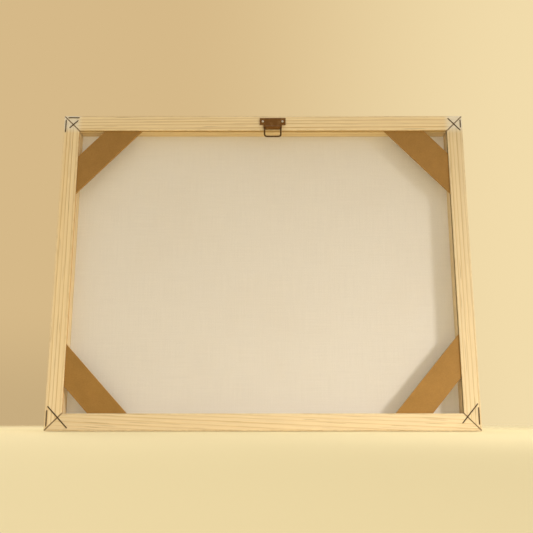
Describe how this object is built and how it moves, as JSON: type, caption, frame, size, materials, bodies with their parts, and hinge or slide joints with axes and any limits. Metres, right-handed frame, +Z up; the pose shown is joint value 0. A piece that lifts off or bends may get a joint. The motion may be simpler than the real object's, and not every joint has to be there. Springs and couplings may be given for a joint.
{
  "type": "screen printing frame",
  "caption": "Rectangular mitred wooden frame with a woven mesh stretched on one side, corner braces, wire staples and a swinging hanging ring.",
  "frame": {"origin": "middle of the underside of the whole object's box; the frame stands upright on its bottom bar", "axes": "+X along the width, +Y towards the print side, +Z up; the rear side with the hanger faces -Y"},
  "size_m": [0.46, 0.0234, 0.355],
  "materials": {
    "pine": "bare planed pine, straight grain",
    "fibreboard": "smooth brown fibreboard",
    "staple_wire": "drawn steel wire",
    "mesh_cloth": "fine off-white plain weave",
    "groove_cord": "braided cord",
    "bronze": "dark bronze lacquered steel",
    "bright_screw": "bright plated steel"
  },
  "bodies": {
    "frame": {"top_bar": "pine", "bottom_bar": "pine", "left_bar": "pine", "right_bar": "pine", "brace_top_left": "fibreboard", "brace_top_right": "fibreboard", "brace_bottom_left": "fibreboard", "brace_bottom_right": "fibreboard", "mitre_staple_top_left": "staple_wire", "mitre_staple_top_right": "staple_wire", "mitre_staple_bottom_left": "staple_wire", "mitre_staple_bottom_right": "staple_wire", "edge_staple_top_left": "staple_wire", "edge_staple_top_right": "staple_wire", "edge_staple_bottom_left": "staple_wire", "edge_staple_bottom_right": "staple_wire", "rail_staple_top_left": "staple_wire", "printing_mesh": "mesh_cloth", "mesh_cord_top": "groove_cord", "mesh_cord_bottom": "groove_cord", "mesh_cord_left": "groove_cord", "mesh_cord_right": "groove_cord", "hanger_plate": "bronze", "hanger_screw_left": "bright_screw", "hanger_screw_right": "bright_screw"},
    "ring": {"hanger_ring": "bronze"}
  },
  "joints": [
    {"name": "hanger_ring_swing", "type": "hinge", "parent": "frame", "child": "ring", "pos_m": [0.011, -0.0095, 0.3397], "axis": [-1, 0, 0], "range_deg": [-30, 165]}
  ]
}
